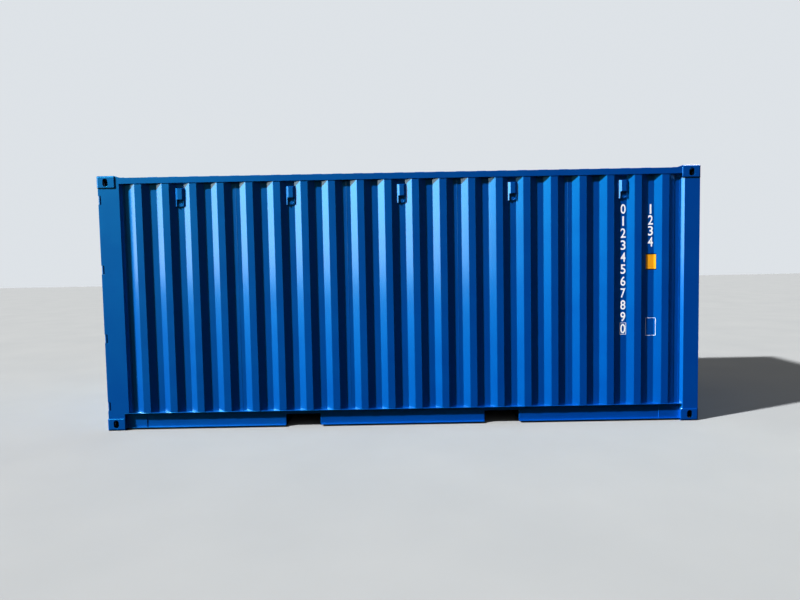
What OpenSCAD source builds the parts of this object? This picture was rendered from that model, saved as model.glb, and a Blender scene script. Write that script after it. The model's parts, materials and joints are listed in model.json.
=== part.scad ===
// A 20 foot dry freight container of welded steel, seen with its doors shut.
// X runs along the length, from the doors (-X) to the closed front end (+X).
// Y runs across, Z is up, and the origin is the middle of the footprint on the ground.
// Plan points are often given as [x, a], where a is the distance in from a side plane.

/* [Overall] */
// Length over the corner castings
ext_l = 6058; // [5400:1:6700]
// Width over the corner castings
ext_w = 2438; // [2300:1:2600]
// Height over the corner castings
ext_h = 2591; // [2450:1:2900]

/* [Corner castings] */
// Length of a casting along the container
casting_l = 178; // [170:0.5:190]
// Width of a casting across the container
casting_w = 162; // [155:0.5:175]
// Height of a casting
casting_h = 118; // [112:0.5:125]
// Wall behind the three outer faces
casting_wall = 28; // [20:0.5:32]
// Wall behind the three welded faces
casting_back = 11; // [8:0.5:13]
// Radius of the outer edges
casting_r = 16; // [6:0.5:18]
// Length of the top or bottom slot
slot_l = 124; // [110:0.5:130]
// Width of the top or bottom slot
slot_w = 63.5; // [56:0.5:70]
// Distance of a slot's centre from the container's end
slot_end = 102.5; // [95:0.5:103]
// Distance of a slot's centre from the container's side
slot_side = 89.5; // [80:0.5:95]
// Width of the hole in a casting's side face
side_hole_w = 51; // [40:0.5:56]
// Width of the hole in a casting's end face
end_hole_w = 63.5; // [50:0.5:66]
// Height of the side and end holes
face_hole_h = 79.5; // [68:0.5:86]
// Distance of those holes' centres from the casting's outer top or bottom face
face_hole_z = 67; // [59:0.5:68]

/* [Corner posts] */
// Thickness of the pressed post plates
post_t = 6; // [4:0.5:8]
// How far posts, rails and wall crests lie inside the casting side plane
side_inset = 8; // [4:0.5:12]
// How far the rear post lies inside the door end plane
rear_inset = 9; // [4:0.5:11]
// How far the front post and wall crests lie inside the front end plane
front_inset = 4; // [2:0.5:8]
// Distance from the door end to the rear post's bend on the side
rear_post_l = 222; // [214:1:240]
// Distance from the front end to the front post's bend on the side
front_post_l = 157; // [150:1:170]
// Width of the front post's face on the front end
front_post_w = 135; // [120:1:150]
// Run of the sloped return between a post and a wall
post_slope = 23; // [15:1:30]
// Run of the post's flange that the wall is welded to
post_flange = 14; // [8:1:20]
// Width of the rear post's lip on the door end
rear_lip = 22; // [16:1:24]
// Width of the channel inside the rear post
channel_w = 108; // [100:1:111]
// Thickness of that channel
channel_t = 12; // [8:0.5:14]
// Depth of that channel across the container
channel_depth = 35; // [32:0.5:40]

/* [Side walls] */
// Outer crests pressed in one sheet
sheet_crests = 4; // [2:1:4]
// Width of an outer crest
crest_w = 71; // [60:0.5:74]
// Run of a slope between crest and trough
slope_w = 68; // [60:0.5:70]
// Width of a trough
trough_w = 69.4; // [60:0.1:72]
// Extra trough width where two sheets are joined
joint_extra = 12.3; // [4:0.1:16]
// Depth over the corrugation
wall_depth = 36; // [30:0.5:40]
// Thickness of the wall sheet
wall_t = 1.6; // [1.2:0.1:2.5]

/* [Rails] */
// Side of the square top rail and front header tube
top_rail = 60; // [50:1:70]
// Wall of that tube
top_rail_t = 3; // [2:0.5:5]
// How far the top rails lie below the castings' top
top_drop = 21; // [19:0.5:26]
// Height of the bottom side rail
bottom_rail_h = 158; // [145:1:165]
// How far the rails and sills lie above the ground
base_gap = 17; // [12:0.5:22]
// Thickness of the bottom side rail
bottom_rail_t = 4.5; // [3:0.5:6]
// Width of the rail's upper flange, the ledge under the wall
ledge_w = 48; // [46:1:60]
// Width of the rail's lower flange
foot_w = 30; // [20:1:40]
// Length of the reinforcing plate at each end of a bottom rail
end_plate_l = 206; // [150:1:260]
// Height of that plate
end_plate_h = 140; // [100:1:140]
// Thickness of that plate
end_plate_t = 4; // [3:0.5:6]

/* [Front wall] */
// Width of an outer crest
front_crest_w = 110; // [90:1:115]
// Run of a slope
front_slope_w = 18; // [12:1:22]
// Distance from one crest to the next
front_pitch = 250; // [235:1:255]
// Depth over the corrugation
front_depth = 45.6; // [40:0.1:48]
// Thickness of the sheet
front_t = 2; // [1.5:0.1:3]

/* [Roof] */
// Distance between roof crests
roof_pitch = 209; // [195:1:225]
// Width of a crest
roof_crest_w = 91; // [80:1:95]
// Run of the slope beside a crest
roof_slope = 13; // [10:1:16]
// Run of the slope that ends a crest beside the rails
roof_end_slope = 14; // [12:1:34]
// Flat between that slope and the rim of the flat margin
roof_end_flat = 6; // [4:1:12]
// Depth of the corrugation
roof_depth = 20; // [18:0.5:24]
// How far the crests rise above the top rails
roof_rise = 15; // [8:0.5:16]
// Thickness of the roof sheet
roof_t = 2; // [1.5:0.1:2.5]
// Distance from a rail's outer face to the roof sheet's edge
roof_edge_inset = 15; // [10:1:25]
// How far the roof sheet lies over the door header
roof_lap = 30; // [20:1:45]
// Width of the flat margin welded on the rails
roof_margin = 47; // [46:1:80]
// Width of the flat margin at the door end
roof_rear_margin = 327; // [280:1:360]
// Width of the flat margin at the front end
roof_front_margin = 255; // [200:1:300]
// Length of the reinforcing plates beside the castings
corner_plate_l = 270; // [200:1:300]
// Reach of those plates across the container
corner_plate_w = 330; // [250:1:400]
// Thickness of those plates
corner_plate_t = 3; // [2:0.5:5]
// Distance of those plates from the container's end
corner_plate_end = 20; // [12:1:40]
// Length of the wedge between a top rail and a top casting
wedge_l = 62; // [40:1:90]
// How far the wedge's high end lies below the casting's top
wedge_drop = 3; // [1:0.5:6]

/* [Floor and base] */
// Thickness of the plywood floor
floor_t = 28; // [24:1:30]
// Height of the floor's top
floor_top = 167; // [160:1:172]
// Gap between the floor and what is beside it
floor_gap = 4; // [2:0.5:8]
// Flange width of a cross member
member_flange = 45; // [35:1:55]
// Thickness of a cross member
member_t = 4; // [3:0.5:5]
// Cross members between a pocket and the end beyond it
outer_members = 5; // [3:1:5]
// Cross members between the two pockets
middle_members = 6; // [3:1:6]
// Width of a fork pocket
pocket_w = 360; // [340:1:380]
// Height of a fork pocket
pocket_h = 115; // [105:1:118]
// Distance between the pockets' centres
pocket_pitch = 2050; // [1950:1:2150]
// Thickness of the pocket's top plate and sides
pocket_t = 4; // [3:0.5:5]
// Leg of the steel angle on the floor's edge
floor_angle = 30; // [20:1:40]
// Thickness of that angle
floor_angle_t = 3; // [2:0.5:4]
// Thickness of the sill and header pressings
sill_t = 4.5; // [3:0.5:6]
// Depth of the sills along the container
sill_depth = 110; // [90:1:130]

/* [Vents] */
// Gap between a vent's back and the slopes beside it
vent_gap = 1; // [0.5:0.1:4]
// Height of a vent
vent_h = 190; // [180:1:220]
// How far a vent's top lies below the top rail
vent_drop = 46; // [30:1:60]
// How far a vent's hood stands out from the trough
vent_depth = 26; // [15:0.5:30]
// How far a vent's wings reach over the slopes beside it
vent_wing = 15; // [8:0.5:20]
// How far the wings stand out from the trough below the hood
wing_depth = 17; // [14:0.5:22]
// Thickness of a vent's walls
vent_t = 2; // [1.5:0.1:3]
// Height of the hood
hood_h = 120; // [110:1:140]
// Distance from the vent's edge to the hood's front face, and drop of the hood's top
hood_bevel = 11; // [6:0.5:14]
// Height of the flange at the vent's foot
vent_foot_h = 32; // [20:1:38]
// Thickness of that flange
vent_foot_t = 8; // [4:0.5:12]

/* [Doors] */
// Height of the door header, from the castings' top to the opening
header_h = 144; // [140:1:180]
// How far a leaf reaches past the opening above and below
leaf_lap = 18; // [12:1:22]
// Gap between a leaf and the header or sill lip
leaf_gap = 8; // [6:0.5:10]
// Distance of a leaf's outer face from the door end plane
leaf_recess = 46; // [44:0.5:48]
// Thickness of a leaf
leaf_t = 50; // [46:1:54]
// Distance of a leaf's hinge edge from the side plane
leaf_edge = 34; // [33:0.5:38]
// Gap between the two leaves
centre_gap = 12; // [11:0.5:16]
// Width of the leaf's frame tubes
frame_w = 100; // [80:1:110]
// Wall of the frame tubes
frame_t = 3.2; // [2.5:0.1:5]
// Ribs pressed in a leaf's panel
door_ribs = 9; // [6:1:9]
// Width of a rib's crest
door_crest_w = 78; // [60:1:84]
// Run of a rib's slope
door_slope_w = 40; // [30:1:44]
// Depth over the ribs
door_depth = 36; // [30:1:38]
// Thickness of the panel
door_t = 2; // [1.5:0.1:2.5]
// Width of the rubber seal
seal_w = 34; // [26:1:40]
// Gap between a leaf and the plane that its seal meets
seal_gap = 8; // [6:0.5:10]
// Depth of the header and the sill behind that plane
lip_w = 50; // [40:1:60]
// Clearance of the rubber seal from the frame it meets
seal_clear = 0.3; // [0.2:0.1:1]

/* [Hinges] */
// Distance of the pin from the side plane and the door end plane
pin_inset = 21; // [21:0.5:22]
// Radius of the pin
pin_r = 6; // [5:0.5:6]
// Radial play round the pin
pin_play = 0.5; // [0.3:0.1:1]
// Outer radius of a blade's barrel
barrel_r = 13; // [12:0.5:13.5]
// Height of the cut-out in the post
cutout_h = 88; // [76:1:96]
// Depth of the cut-out from the post's rear face
cutout_l = 29; // [28:0.5:31]
// Radius of the cut-out's inner upper corner
cutout_r = 9; // [5:1:9]
// Gap between a barrel and its lugs
barrel_gap = 2; // [1:0.5:4]
// Thickness of a lug
lug_t = 10; // [8:0.5:12]
// Reach of a lug past the pin
lug_reach = 20; // [12:1:24]
// Gap between a lug and the leaf
lug_gap = 3; // [2:0.5:5]
// Thickness of a blade
blade_t = 9; // [7:0.5:9]
// Width of the web between a barrel and its blade
blade_web = 12; // [8:0.5:12.5]
// Reach of a blade across the leaf, from the pin
blade_l = 108; // [90:1:112]
// Height of a blade's plate
blade_h = 70; // [60:1:72]
// Radius of a blade's free corners
blade_r = 18; // [8:1:30]
// Hinges on one leaf
hinge_count = 4; // [3:1:5]
// Height of the lowest hinge above the leaf's lower edge
hinge_low = 101; // [80:1:200]
// Distance of the highest hinge from the leaf's upper edge
hinge_high = 115; // [80:1:200]

/* [Locking gear] */
// Radius of a locking bar
bar_r = 17; // [14:0.5:18]
// Gap between a bar and the leaf
bar_stand = 5; // [3.5:0.5:6]
// Distance of a bar from the leaf's edge
bar_edge = 255; // [230:1:280]
// Radius of a cam's flanges
cam_r = 19; // [17.5:0.5:20]
// Height of a cam
cam_h = 56; // [40:1:60]
// Thickness of a cam's flanges
cam_flange = 9; // [6:0.5:12]
// Width of the cam's nose between its flanges
cam_nose_w = 20; // [12:1:26]
// Gap between a cam's sides and its keeper
cam_gap = 12; // [10:0.5:14]
// Thickness of a keeper's ears
ear_t = 12; // [8:0.5:14]
// Height of a keeper's ears
ear_h = 66; // [50:1:70]
// Distance of a keeper's ears from the door end plane
ear_inset = 12; // [4:1:20]
// Height of a bar bracket
bracket_h = 60; // [40:1:70]
// Width of a bar bracket
bracket_w = 84; // [76:1:96]
// Thickness of a bar bracket
bracket_t = 5; // [4:0.5:6]
// Play of a bar in its brackets
bar_play = 0.5; // [0.3:0.1:1]
// Length of a handle, from its bar
handle_l = 540; // [450:1:560]
// Height of a handle's blade
handle_h = 32; // [24:1:36]
// Thickness of a handle's blade
handle_t = 8; // [6:0.5:10]
// Thickness of the handle's hub round the bar
hub_t = 6; // [4:0.5:7]
// Height of that hub
hub_h = 56; // [44:1:70]
// Radius of the lock hole in a handle
lock_r = 7; // [5:0.5:9]
// Width of a handle catch
catch_w = 60; // [40:1:80]
// Gap between a handle and its catch
catch_gap = 1; // [0.5:0.5:3]
// Thickness of a catch's jaws
jaw_t = 6; // [4:0.5:8]

/* [Hidden] */
$fn = 48;

paint = [0.02, 0.33, 0.68];
dark_rubber = [0.1, 0.1, 0.11];
zinc = [0.7, 0.72, 0.74];
plywood = [0.62, 0.42, 0.26];

// How far a cutting shape reaches past the face that it opens
past = 1;
// Growth of a cutting shape whose faces lie on other faces
hair = 0.001;

half_l = ext_l / 2;
half_w = ext_w / 2;
rail_top = ext_h - top_drop;
rail_low = rail_top - top_rail;
ledge_top = base_gap + bottom_rail_h;
web_a = side_inset + ledge_w;
top_casting_z = ext_h - casting_h;
wall_in = side_inset + wall_depth;
front_in = front_inset + front_depth;

// Corrugation of a side wall, between the flanges of the two posts
wall_pitch = crest_w + 2 * slope_w + trough_w;
wall_x0 = -half_l + rear_post_l + post_slope + post_flange;
wall_x1 = half_l - front_post_l - post_slope - post_flange;
wall_sheets = floor((wall_x1 - wall_x0 + trough_w) / (sheet_crests * wall_pitch + joint_extra));
wall_crests = wall_sheets * sheet_crests;
wall_run = wall_crests * wall_pitch - trough_w + (wall_sheets - 1) * joint_extra;
wall_start = (wall_x0 + wall_x1 - wall_run) / 2;

// Door levels, as heights, and as distances r from the door end plane
opening_top = ext_h - header_h;
leaf_low = floor_top - leaf_lap;
leaf_top = opening_top + leaf_lap;
sill_back = leaf_low - leaf_gap;
header_low = leaf_top + leaf_gap;
leaf_in = leaf_recess + leaf_t;
seal_r = leaf_in + seal_gap;
lip_r = seal_r + lip_w;
post_in = side_inset + post_t + channel_depth;
leaf_far = half_w - centre_gap / 2;
bar_at = [leaf_edge + bar_edge, leaf_far - bar_edge];
bar_c = leaf_recess - bar_stand - bar_r;
panel_low = leaf_low + frame_w;
panel_top = leaf_top - frame_w;
rib_pitch = (panel_top - panel_low) / door_ribs;
rib_r = leaf_recess + (leaf_t - door_depth) / 2;
hinge_pitch = (leaf_top - hinge_high - leaf_low - hinge_low) / (hinge_count - 1);
hinge_z = [for (i = [0:hinge_count - 1]) leaf_low + hinge_low + i * hinge_pitch];
// Height of the middle of a panel rib, counted from 0 at the bottom
function rib_z(i) = panel_low + (i + 0.5) * rib_pitch;
// The ribs that the inner and the outer handle cross, and those with a bar bracket
handle_z = [rib_z(floor(door_ribs / 3)), rib_z(floor(door_ribs / 3) + 1)];
rib_bracket_z = [rib_z(1), rib_z(door_ribs - 3)];
end_bracket_z = [leaf_low + frame_w / 2, leaf_top - frame_w / 2];

function unit(v) = v / norm(v);
function left_of(v) = [-v[1], v[0]];
// Points moved t to the left of an open line, with mitred corners
function moved_line(p, t) = [
    for (i = [0:len(p) - 1])
        let (
            before = unit(i > 0 ? p[i] - p[i - 1] : p[1] - p[0]),
            after = unit(i < len(p) - 1 ? p[i + 1] - p[i] : p[i] - p[i - 1]),
            n1 = left_of(before),
            n2 = left_of(after)
        )
        p[i] + t * (n1 + n2) / (1 + n1 * n2)
];
function reversed(p) = [for (i = [len(p) - 1:-1:0]) p[i]];
// Outline of a bent plate t thick, whose outer face follows an open line
function plate_line(p, t) = concat(p, reversed(moved_line(p, t)));
// Plan points [x, a] of the near side turned to [x, y]
function near(p) = [for (q = p) [q[0], q[1] - half_w]];
// Top line of evenly spaced crests: each goes from low to high and back
function crest_line(n, start, pitch, slope, crest, low, high, group = 1, extra = 0) = [
    for (i = [0:n - 1])
        let (x = start + i * pitch + floor(i / group) * extra)
        each [[x, low], [x + slope, high], [x + slope + crest, high], [x + 2 * slope + crest, low]]
];

module span_x(x0, x1) translate([x0, 0, 0]) rotate([90, 0, 90]) linear_extrude(x1 - x0) children();
module span_y(y0, y1) translate([0, y1, 0]) rotate([90, 0, 0]) linear_extrude(y1 - y0) children();
module span_z(z0, z1) translate([0, 0, z0]) linear_extrude(z1 - z0) children();
// A box from one corner to the other
module block(p, q) translate(p) cube(q - p);
// The children at the near side and mirrored at the far side
module both_sides() {
    children();
    mirror([0, 1, 0]) children();
}
module both_ends() {
    children();
    mirror([1, 0, 0]) children();
}

// Corner castings
module slot_2d(l, w) {
    square([l - w, w], center = true);
    translate([(l - w) / 2, 0]) circle(d = w);
    translate([(w - l) / 2, 0]) circle(d = w);
}
// A rectangle from the outer corner at 0, 0, with that corner rounded
module rounded_2d(l, w) {
    translate([casting_r, 0]) square([l - casting_r, w]);
    translate([0, casting_r]) square([l, w - casting_r]);
    translate([casting_r, casting_r]) circle(r = casting_r);
}
// A bottom casting with its outer corner at the origin, reaching to +X, +Y and +Z
module casting() {
    difference() {
        intersection() {
            span_z(0, casting_h) rounded_2d(casting_l, casting_w);
            span_y(0, casting_w) rounded_2d(casting_l, casting_h);
            span_x(0, casting_l) rounded_2d(casting_w, casting_h);
        }
        block([casting_wall, casting_wall, casting_wall],
            [casting_l - casting_back, casting_w - casting_back, casting_h - casting_back]);
        span_z(-past, casting_wall + past) translate([slot_end, slot_side]) slot_2d(slot_l, slot_w);
        span_y(-past, casting_wall + past)
            translate([casting_l / 2, face_hole_z]) rotate(90) slot_2d(face_hole_h, side_hole_w);
        span_x(-past, casting_wall + past)
            translate([slot_side, face_hole_z]) rotate(90) slot_2d(face_hole_h, end_hole_w);
    }
}
module casting_pair(end, top) {
    color(paint) both_sides()
        mirror([end > 0 ? 1 : 0, 0, 0])
            translate([-half_l, -half_w, 0])
                translate([0, 0, top ? ext_h : 0]) mirror([0, 0, top ? 1 : 0]) casting();
}
module rear_bottom_castings() casting_pair(-1, false);
module rear_top_castings() casting_pair(-1, true);
module front_bottom_castings() casting_pair(1, false);
module front_top_castings() casting_pair(1, true);
// The room that the four castings of one side take, for what is cut round them
module casting_room() {
    for (sx = [-1, 1], z = [0, top_casting_z])
        translate([sx * (half_l - casting_l / 2), -half_w + casting_w / 2, z + casting_h / 2])
            cube([casting_l + hair, casting_w + hair, casting_h + hair], center = true);
}

// Corner posts
module rear_post_section() {
    x0 = -half_l + rear_inset;
    x1 = -half_l + rear_post_l;
    line = near([
        [x0, side_inset + rear_lip], [x0, side_inset], [x1, side_inset],
        [x1 + post_slope, wall_in - post_t], [x1 + post_slope + post_flange, wall_in - post_t]
    ]);
    polygon(plate_line(line, post_t));
}
module front_post_section() {
    x0 = half_l - front_post_l;
    x1 = half_l - front_inset;
    line = near([
        [x0 - post_slope - post_flange, wall_in - post_t], [x0 - post_slope, wall_in - post_t],
        [x0, side_inset], [x1, side_inset], [x1, front_post_w],
        [half_l - front_in + post_t, front_post_w + post_slope],
        [half_l - front_in + post_t, front_post_w + post_slope + post_flange]
    ]);
    polygon(plate_line(line, post_t));
}
// The notch in the post's side and lip where a hinge blade swings through
module hinge_cutout() {
    x0 = -half_l + rear_inset;
    x1 = x0 + cutout_l;
    span_y(-half_w, -half_w + side_inset + rear_lip + past) {
        translate([x0 - past, -cutout_h / 2]) square([cutout_l + past, cutout_h - cutout_r]);
        translate([x0 - past, -cutout_h / 2]) square([cutout_l + past - cutout_r, cutout_h]);
        translate([x1 - cutout_r, cutout_h / 2 - cutout_r]) circle(r = cutout_r);
    }
}
module rear_corner_posts() {
    color(paint) both_sides() difference() {
        span_z(casting_h, rail_low) rear_post_section();
        casting_room();
        block([-half_l + casting_l, -half_w, 0], [wall_x0 + past, 0, ledge_top]);
        for (z = hinge_z) translate([0, 0, z]) hinge_cutout();
    }
}
module rear_post_channels() {
    x0 = -half_l + seal_r;
    line = near([
        [x0, side_inset + post_t], [x0, post_in], [x0 + channel_w, post_in],
        [x0 + channel_w, side_inset + post_t]
    ]);
    color(paint) both_sides() difference() {
        span_z(casting_h, top_casting_z) polygon(plate_line(line, -channel_t));
        block([-half_l + casting_l, -half_w, 0], [wall_x0, 0, ledge_top]);
    }
}
module front_corner_posts() {
    color(paint) both_sides() difference() {
        span_z(casting_h, top_casting_z) front_post_section();
        block([wall_x1 - past, -half_w, 0], [half_l - casting_l, 0, ledge_top]);
        block([half_l - casting_l, -half_w + casting_w, 0], [half_l, 0, ledge_top]);
    }
}

// Rails
module tube_2d(w, h, t) difference() {
    square([w, h]);
    translate([t, t]) square([w - 2 * t, h - 2 * t]);
}
module top_side_rails() {
    color(paint) both_sides()
        span_x(-half_l + casting_l, half_l - casting_l)
            translate([-half_w + side_inset, rail_low]) tube_2d(top_rail, top_rail, top_rail_t);
}
// The way of one fork pocket, through both rails
module pocket_room(w, low, top) {
    both_ends() block([(pocket_pitch - w) / 2, -half_w, low], [(pocket_pitch + w) / 2, half_w, top]);
}
module bottom_side_rails() {
    a1 = -half_w + web_a;
    line = [
        [-half_w + side_inset, ledge_top], [a1, ledge_top], [a1, base_gap], [a1 - foot_w, base_gap]
    ];
    color(paint) both_sides() difference() {
        span_x(-half_l + casting_l, half_l - casting_l) polygon(plate_line(line, -bottom_rail_t));
        pocket_room(pocket_w, 0, base_gap + pocket_h);
    }
}
module rail_end_plates() {
    x1 = half_l - casting_l;
    y1 = -half_w + web_a - bottom_rail_t;
    z0 = base_gap + bottom_rail_t;
    color(paint) both_sides() both_ends()
        block([x1 - end_plate_l, y1 - end_plate_t, z0], [x1, y1, z0 + end_plate_h]);
}

// Walls and roof
// Above the front post's end the sheet runs on to the casting
module side_wall() {
    low = wall_in - wall_t;
    x1 = half_l - casting_l;
    line = concat(
        [[wall_x0, low]],
        crest_line(wall_crests, wall_start, wall_pitch, slope_w, crest_w, low, side_inset,
            sheet_crests, joint_extra),
        [[x1, low]]
    );
    difference() {
        span_z(ledge_top, rail_low) polygon(plate_line(near(line), wall_t));
        block([wall_x1, -half_w, 0], [x1 + past, 0, top_casting_z]);
    }
}
module near_side_wall() color(paint) side_wall();
module far_side_wall() color(paint) mirror([0, 1, 0]) side_wall();
module front_wall() {
    y1 = half_w - front_post_w - post_slope - post_flange;
    y2 = half_w - casting_w;
    crest_run = front_crest_w + 2 * front_slope_w;
    front_crests = floor((2 * y1 - crest_run) / front_pitch) + 1;
    run = (front_crests - 1) * front_pitch + crest_run;
    low = half_l - front_in + front_t;
    high = half_l - front_inset;
    line = concat(
        [[-y2, low]],
        crest_line(front_crests, -run / 2, front_pitch, front_slope_w, front_crest_w, low, high),
        [[y2, low]]
    );
    turned = [for (q = line) [q[1], q[0]]];
    color(paint) difference() {
        span_z(ledge_top, rail_low) polygon(plate_line(turned, front_t));
        both_sides() block([0, -y2 - past, 0], [half_l, -y1, top_casting_z]);
    }
}

// Roof sheet from the door header to the front castings. Inside its flat margins is a shallow basin,
// whose floor is the bottom of the corrugation.
roof_x0 = -half_l + lip_r - roof_lap;
roof_x1 = half_l - casting_l;
roof_edge = half_w - side_inset - roof_edge_inset;
roof_high = rail_top + roof_rise;
roof_low = roof_high - roof_depth;
basin_x0 = roof_x0 + roof_rear_margin;
basin_x1 = roof_x1 - roof_front_margin;
basin_y = roof_edge - roof_margin;
roof_count = floor((basin_x1 - basin_x0 - roof_crest_w - 2 * roof_slope) / roof_pitch) + 1;
// The solid under the basin's floor and the pressed crests, lowered by d inside the sheet
module roof_form(d) {
    run = (roof_count - 1) * roof_pitch + roof_crest_w + 2 * roof_slope;
    start = (basin_x0 + basin_x1 - run) / 2;
    line = concat(
        [[basin_x0, roof_low]],
        crest_line(roof_count, start, roof_pitch, roof_slope, roof_crest_w, roof_low, roof_high),
        [[basin_x1, roof_low]]
    );
    top = moved_line(line, -d);
    foot = basin_y - roof_end_flat;
    across = [
        [-basin_y, roof_low], [-foot, roof_low], [roof_end_slope - foot, roof_high],
        [foot - roof_end_slope, roof_high], [foot, roof_low], [basin_y, roof_low]
    ];
    side = moved_line(across, -d);
    intersection() {
        span_y(-basin_y, basin_y) polygon(concat([[basin_x0, rail_low]], top, [[basin_x1, rail_low]]));
        span_x(basin_x0, basin_x1)
            polygon(concat([[-basin_y, rail_low]], side, [[basin_y, rail_low]]));
    }
}
// The room inside the basin's rim, d smaller all round
module basin_room(d, z0, z1) {
    block([basin_x0 + d, d - basin_y, z0], [basin_x1 - d, basin_y - d, z1]);
}
module roof_sheet() {
    top = rail_top + roof_t;
    color(paint) difference() {
        union() {
            difference() {
                union() {
                    block([roof_x0, -roof_edge, rail_top], [roof_x1, roof_edge, top]);
                    basin_room(0, roof_low - roof_t, top);
                }
                basin_room(roof_t, roof_low - roof_t - past, top + past);
            }
            difference() {
                roof_form(0);
                block([-half_l, -half_w, 0], [half_l, half_w, roof_low - roof_t]);
            }
        }
        roof_form(roof_t);
        both_sides() block([roof_x0 - past, -half_w, rail_top - past],
            [casting_l - half_l, casting_w - half_w, top + past]);
    }
}
// At each corner a plate behind the casting, one beside it, and the wedge up from the rail
module roof_corner_plates() {
    z0 = rail_top + roof_t;
    x0 = half_l - casting_l;
    y1 = -half_w + corner_plate_w;
    color(paint) both_sides() both_ends() {
        block([half_l - corner_plate_l, -roof_edge, z0], [x0, y1, z0 + corner_plate_t]);
        block([x0, -half_w + casting_w, z0], [half_l - corner_plate_end, y1, z0 + corner_plate_t]);
        span_y(-half_w + side_inset, -roof_edge)
            polygon([[x0 - wedge_l, rail_top], [x0, rail_top], [x0, ext_h - wedge_drop]]);
    }
}

// Ends
// The front header's tube, and the plate on it that closes the roof between the castings
module front_header() {
    x1 = half_l - front_inset;
    y1 = half_w - casting_w;
    color(paint) span_y(-y1, y1) {
        translate([x1 - top_rail, rail_low]) tube_2d(top_rail, top_rail, top_rail_t);
        translate([roof_x1, rail_top]) square([x1 - roof_x1, roof_t]);
    }
}
module front_sill() {
    x1 = half_l - front_inset;
    y1 = half_w - casting_w;
    line = [
        [x1 - sill_depth, base_gap], [x1 - sill_depth, ledge_top], [x1, ledge_top], [x1, base_gap]
    ];
    color(paint) span_y(-y1, y1) polygon(plate_line(line, -sill_t));
}
module door_header() {
    x0 = -half_l;
    y1 = half_w - post_in;
    outer = [
        [x0 + leaf_recess, header_low], [x0 + seal_r, header_low], [x0 + seal_r, opening_top],
        [x0 + lip_r, opening_top], [x0 + lip_r, rail_top], [x0 + leaf_recess, rail_top]
    ];
    inner = [
        [x0 + leaf_recess + sill_t, header_low + sill_t], [x0 + seal_r + sill_t, header_low + sill_t],
        [x0 + seal_r + sill_t, opening_top + sill_t], [x0 + lip_r - sill_t, opening_top + sill_t],
        [x0 + lip_r - sill_t, rail_top - sill_t], [x0 + leaf_recess + sill_t, rail_top - sill_t]
    ];
    color(paint) difference() {
        span_y(-y1, y1) difference() {
            polygon(outer);
            polygon(inner);
        }
        both_sides() casting_room();
    }
}
module door_sill() {
    x0 = -half_l;
    y1 = half_w - post_in;
    line = [
        [x0 + leaf_recess, base_gap], [x0 + leaf_recess, sill_back], [x0 + seal_r, sill_back],
        [x0 + seal_r, floor_top], [x0 + lip_r, floor_top], [x0 + lip_r, base_gap]
    ];
    color(paint) difference() {
        span_y(-y1, y1) polygon(plate_line(line, -sill_t));
        both_sides() casting_room();
    }
}

// Base
module member_2d(h) {
    line = [[member_flange, 0], [0, 0], [0, h], [member_flange, h]];
    polygon(plate_line(line, -member_t));
}
member_h = floor_top - floor_t - base_gap;
member_y = half_w - web_a;
module cross_member(x) translate([x, 0, base_gap]) span_y(-member_y, member_y) member_2d(member_h);
module cross_members() {
    pocket_out = (pocket_pitch + pocket_w) / 2 + pocket_t;
    pocket_near = (pocket_pitch - pocket_w) / 2 - pocket_t;
    rear_x = half_l - lip_r;
    front_x = half_l - front_inset - sill_depth;
    rear_step = (rear_x - pocket_out) / (outer_members + 1);
    front_step = (front_x - pocket_out) / (outer_members + 1);
    middle_step = 2 * pocket_near / (middle_members + 1);
    color(paint) {
        for (i = [1:outer_members]) {
            cross_member(-rear_x + i * rear_step - member_flange / 2);
            cross_member(front_x - i * front_step - member_flange / 2);
        }
        for (i = [1:middle_members]) cross_member(-pocket_near + i * middle_step - member_flange / 2);
    }
}
module fork_pockets() {
    z1 = floor_top - floor_t;
    z0 = base_gap + pocket_t;
    x1 = pocket_w / 2 + pocket_t;
    line = [
        [-x1 - member_flange, z0], [-x1, z0], [-x1, z1], [x1, z1], [x1, z0], [x1 + member_flange, z0]
    ];
    color(paint) both_ends() translate([pocket_pitch / 2, 0, 0])
        span_y(-member_y, member_y) polygon(plate_line(line, -pocket_t));
}
module plywood_floor() {
    y1 = half_w - web_a - floor_gap;
    color(plywood) block([-half_l + lip_r + floor_gap, -y1, floor_top - floor_t],
        [half_l - front_inset - sill_depth - floor_gap, y1, floor_top]);
}
module floor_side_angles() {
    y0 = -half_w + web_a;
    line = [[y0, ledge_top], [y0, floor_top], [y0 + floor_angle, floor_top]];
    color(paint) both_sides() span_x(wall_x0, wall_x1) polygon(plate_line(line, floor_angle_t));
}

// Vents, one in the middle trough of each sheet
vent_w = trough_w - 2 * vent_gap;
vent_rise = vent_wing * (wall_depth - wall_t) / slope_w;
// A vent's outer form with its hood's depth all the way down, and inside it the hollow, d smaller
// and open below
module vent_form(d) {
    left = [[0, 0], [-vent_wing, -vent_rise], [hood_bevel, -vent_depth]];
    plan = concat(left, [for (q = reversed(left)) [vent_w - q[0], q[1]]]);
    z0 = d > 0 ? -past : 0;
    side = moved_line([[-vent_depth, z0], [-vent_depth, vent_h - hood_bevel], [0, vent_h]], -d);
    intersection() {
        span_z(z0, vent_h + past) polygon(moved_line(plan, d));
        span_x(-vent_wing - past, vent_w + vent_wing + past) polygon(concat([[0, z0]], side));
    }
}
module vent() {
    x1 = vent_w + vent_wing + past;
    difference() {
        vent_form(0);
        intersection() {
            vent_form(vent_t);
            block([-vent_wing - past, -vent_depth, -past], [x1, -vent_t, vent_h]);
        }
        block([-vent_wing - past, -vent_depth - past, -past], [x1, -wing_depth, vent_h - hood_h]);
    }
    block([0, -vent_foot_t, 0], [vent_w, 0, vent_foot_h]);
}
module side_vents() {
    sheet_l = sheet_crests * wall_pitch + joint_extra;
    x0 = wall_start + floor(sheet_crests / 2) * wall_pitch - trough_w + vent_gap;
    color(paint) both_sides() for (i = [0:wall_sheets - 1])
        translate([x0 + i * sheet_l, -half_w + wall_in - wall_t, rail_low - vent_drop - vent_h]) vent();
}

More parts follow.
